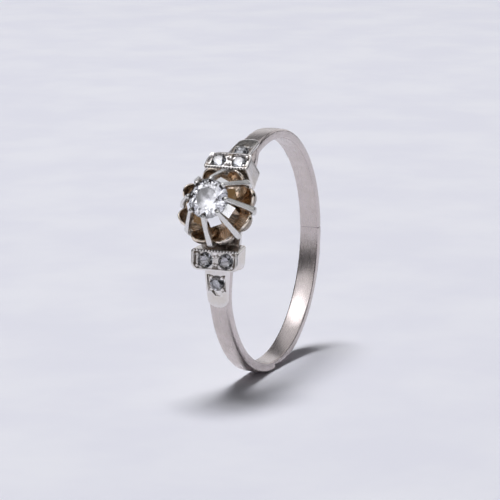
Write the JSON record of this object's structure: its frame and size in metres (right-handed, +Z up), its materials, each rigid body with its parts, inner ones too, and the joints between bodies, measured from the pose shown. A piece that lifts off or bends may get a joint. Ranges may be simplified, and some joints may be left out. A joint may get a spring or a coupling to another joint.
{
  "type": "engagement ring",
  "caption": "Finger ring with a claw-set round stone in a fluted cup, raised stone-set blocks and tapered stone-set shoulders on a slim band.",
  "frame": {"origin": "centre of the finger hole, midway across the band", "axes": "+Y along the finger, +Z up as the ring stands on its shank; the head points towards -X and is tipped 28.5 degrees above the horizontal"},
  "size_m": [0.0211, 0.006, 0.0186],
  "materials": {
    "shank_gold": "worn satin white gold",
    "setting_gold": "bright-cut white gold",
    "cup_gold": "darkened bright-cut white gold",
    "diamond": "cut and polished diamond"
  },
  "bodies": {
    "root": {"upper_arm": "shank_gold", "lower_arm": "shank_gold", "sizing_insert": "shank_gold", "upper_shoulder": "setting_gold", "lower_shoulder": "setting_gold", "upper_block": "setting_gold", "lower_block": "setting_gold", "bridge": "setting_gold", "base_ring": "setting_gold", "cup": "cup_gold", "illusion_collet": "setting_gold", "claw_1": "setting_gold", "claw_2": "setting_gold", "claw_3": "setting_gold", "claw_4": "setting_gold", "claw_5": "setting_gold", "claw_6": "setting_gold", "claw_7": "setting_gold", "claw_8": "setting_gold", "centre_diamond": "diamond", "upper_block_diamond_left": "diamond", "upper_block_diamond_right": "diamond", "lower_block_diamond_left": "diamond", "lower_block_diamond_right": "diamond", "upper_shoulder_diamond": "diamond", "lower_shoulder_diamond": "diamond"}
  },
  "joints": []
}
